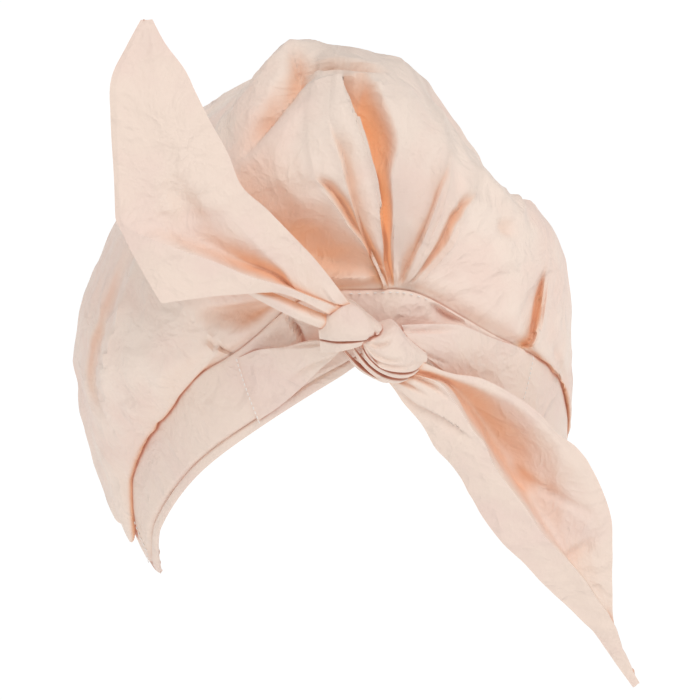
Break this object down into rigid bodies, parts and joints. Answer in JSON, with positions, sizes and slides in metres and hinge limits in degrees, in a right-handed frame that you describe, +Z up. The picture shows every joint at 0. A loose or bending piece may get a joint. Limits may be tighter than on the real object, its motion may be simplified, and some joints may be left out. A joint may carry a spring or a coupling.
{
  "type": "bath cap with front tie",
  "caption": "Turban-style bath cap: gathered hollow crown on a headband, elastic nape casing, and straps knotted at the forehead with one tie end up and one hanging.",
  "frame": {"origin": "middle of the headband loop, level with the lower edge of the headband at the forehead, where a head sits in the cap", "axes": "+Z up along the wearer's head, -Y the front of the head, +X the side of the hanging tie end"},
  "size_m": [0.2389, 0.2409, 0.317],
  "materials": {
    "cloth": "crinkled blush taffeta with a soft satin sheen"
  },
  "bodies": {
    "root": {"crown": "cloth", "headband": "cloth", "nape_casing": "cloth", "strap_left": "cloth", "strap_right": "cloth", "knot": "cloth", "tail_upper": "cloth", "tail_hanging": "cloth"}
  },
  "joints": []
}
